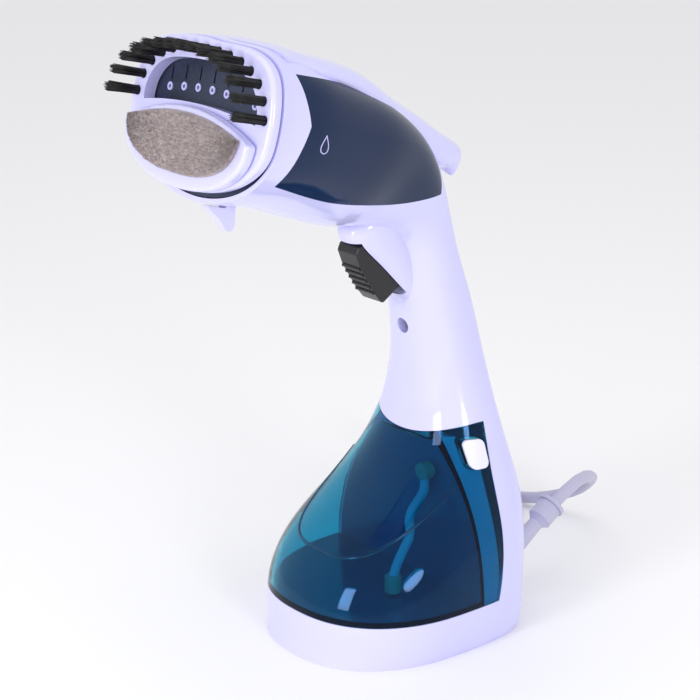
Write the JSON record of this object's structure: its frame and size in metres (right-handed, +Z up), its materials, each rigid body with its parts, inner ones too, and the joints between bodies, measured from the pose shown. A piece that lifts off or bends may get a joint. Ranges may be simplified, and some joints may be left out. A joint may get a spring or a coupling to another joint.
{
  "type": "garment steamer",
  "caption": "Handheld garment steamer: bent white body, slanted steam head with pull-off bristle and pad brush, black trigger, blue slide-out water tank, mains lead on a swivel",
  "frame": {"origin": "centre of the base's underside, on the standing surface, below the middle of the handle", "axes": "+Z up the standing steamer, -Y the way the steam head faces, X across the body"},
  "size_m": [0.2128, 0.2878, 0.2966],
  "materials": {
    "white_shell": "glossy white with a cool lavender cast",
    "navy_panel": "glossy dark navy",
    "tank_blue": "clear deep blue tinted tank, about 2 mm wall",
    "button_blue": "satin lavender-grey button",
    "black_plastic": "matt black",
    "bristle_black": "black nylon bristle",
    "pad_fibre": "taupe short-pile fibre pad",
    "plate_dark": "dark blue-grey coated plate",
    "cast_metal": "as-cast aluminium",
    "steel": "zinc-plated steel",
    "silicone_blue": "soft light-blue silicone tube",
    "silicone_grey": "grey silicone",
    "inner_plastic": "plain moulded inner part",
    "cord_grey": "smooth light lavender-grey jacket",
    "pin_metal": "nickel-plated pins"
  },
  "bodies": {
    "housing": {"base_and_spine_housing": "white_shell", "handle_shell": "white_shell", "nozzle_collar": "white_shell", "head_top_shell": "white_shell", "side_panel_right": "navy_panel", "side_panel_left": "navy_panel", "top_cover": "white_shell", "pump_bay": "inner_plastic", "base_plate": "inner_plastic", "base_pads": "silicone_grey", "base_screws": "steel", "handle_screw": "steel", "trigger_pin": "steel", "microswitch": "black_plastic", "switch_bracket": "inner_plastic", "steam_plate": "plate_dark", "steam_eyelets": "inner_plastic", "heater_block": "cast_metal", "chamber_gasket": "silicone_grey", "heater_cover": "cast_metal", "thermostat": "steel", "thermal_fuse": "steel", "latch_pin": "steel", "water_pump": "black_plastic", "pump_feet": "silicone_grey", "port_seal": "silicone_grey", "pump_inlet_hose": "silicone_grey", "heater_hose": "silicone_grey", "terminal_block": "inner_plastic", "wiring_loom": "black_plastic", "swivel_socket": "inner_plastic", "cord_tube": "cord_grey", "cord_coil": "cord_grey", "cord_tail": "cord_grey", "cord_tie": "black_plastic", "plug_body": "cord_grey", "plug_pins": "pin_metal"},
    "tank": {"water_tank": "tank_blue", "tank_valve": "silicone_grey", "suction_tube": "silicone_blue", "tube_weight": "silicone_grey"},
    "tank_button_right": {"tank_button_right": "button_blue"},
    "tank_button_left": {"tank_button_left": "button_blue"},
    "trigger": {"trigger": "black_plastic", "trigger_spring": "steel"},
    "brush": {"brush_frame": "white_shell", "pad_holder": "white_shell", "lint_pad": "pad_fibre", "bristle_tufts": "bristle_black"},
    "brush_latch": {"brush_latch": "white_shell"},
    "cord_swivel": {"cord_swivel": "cord_grey"}
  },
  "joints": [
    {"name": "tank_slide", "type": "slide", "parent": "housing", "child": "tank", "axis": [0, -1, 0], "range_m": [0, 0.11]},
    {"name": "tank_button_right_press", "type": "slide", "parent": "tank", "child": "tank_button_right", "axis": [-1, 0, 0], "range_m": [0, 0.0025], "stiffness_N_per_m": 900, "springref_m": -0.002},
    {"name": "tank_button_left_press", "type": "slide", "parent": "tank", "child": "tank_button_left", "axis": [1, 0, 0], "range_m": [0, 0.0025], "stiffness_N_per_m": 900, "springref_m": -0.002},
    {"name": "trigger_pull", "type": "hinge", "parent": "housing", "child": "trigger", "pos_m": [0, -0.006, 0.194], "axis": [1, 0, 0], "range_deg": [0, 7], "stiffness_Nm_per_rad": 0.3, "springref_deg": -8.59, "deforming": ["trigger_spring"]},
    {"name": "brush_pull", "type": "slide", "parent": "housing", "child": "brush", "axis": [0, -0.9728, 0.2317], "range_m": [0, 0.04]},
    {"name": "brush_latch_pull", "type": "hinge", "parent": "housing", "child": "brush_latch", "pos_m": [0, -0.09203, 0.22861], "axis": [1, 0, 0], "range_deg": [0, 8], "stiffness_Nm_per_rad": 0.1, "springref_deg": -8.59},
    {"name": "cord_swivel_turn", "type": "hinge", "parent": "housing", "child": "cord_swivel", "pos_m": [0.0154, 0.0521, 0.0104], "axis": [0, 0.8387, 0.5446], "continuous": true}
  ]
}
